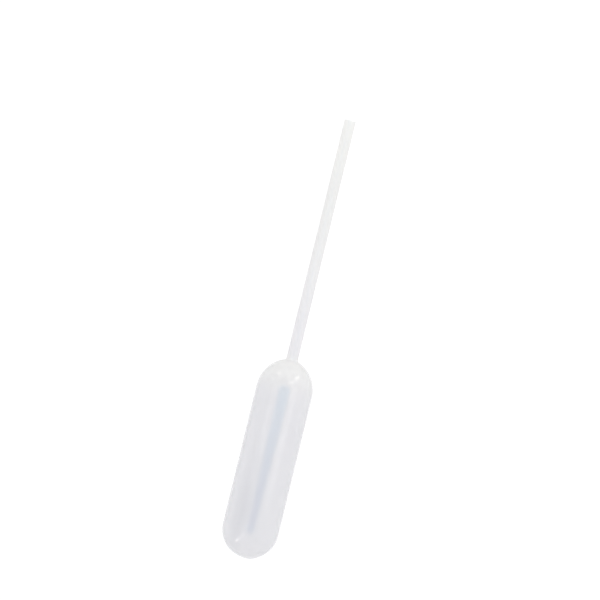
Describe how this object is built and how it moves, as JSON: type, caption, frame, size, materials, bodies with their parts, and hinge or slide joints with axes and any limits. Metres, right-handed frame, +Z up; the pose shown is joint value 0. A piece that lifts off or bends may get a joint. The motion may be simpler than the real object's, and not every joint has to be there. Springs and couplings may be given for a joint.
{
  "type": "dropper pipette",
  "caption": "Moulded soft plastic dropper pipette with a capsule-shaped squeeze bulb, a rounded shoulder and a slim, open-tipped stem, lying on its side.",
  "frame": {"origin": "on the surface that the pipette lies on, below its axis and halfway along its length", "axes": "+X along the axis from the bulb's closed end to the open tip, +Z up, away from the surface it lies on"},
  "size_m": [0.095, 0.012, 0.012],
  "materials": {
    "natural_ldpe": "natural translucent low-density polyethylene, blow moulded, smooth with a soft gloss"
  },
  "bodies": {
    "root": {"pipette": "natural_ldpe"}
  },
  "joints": []
}
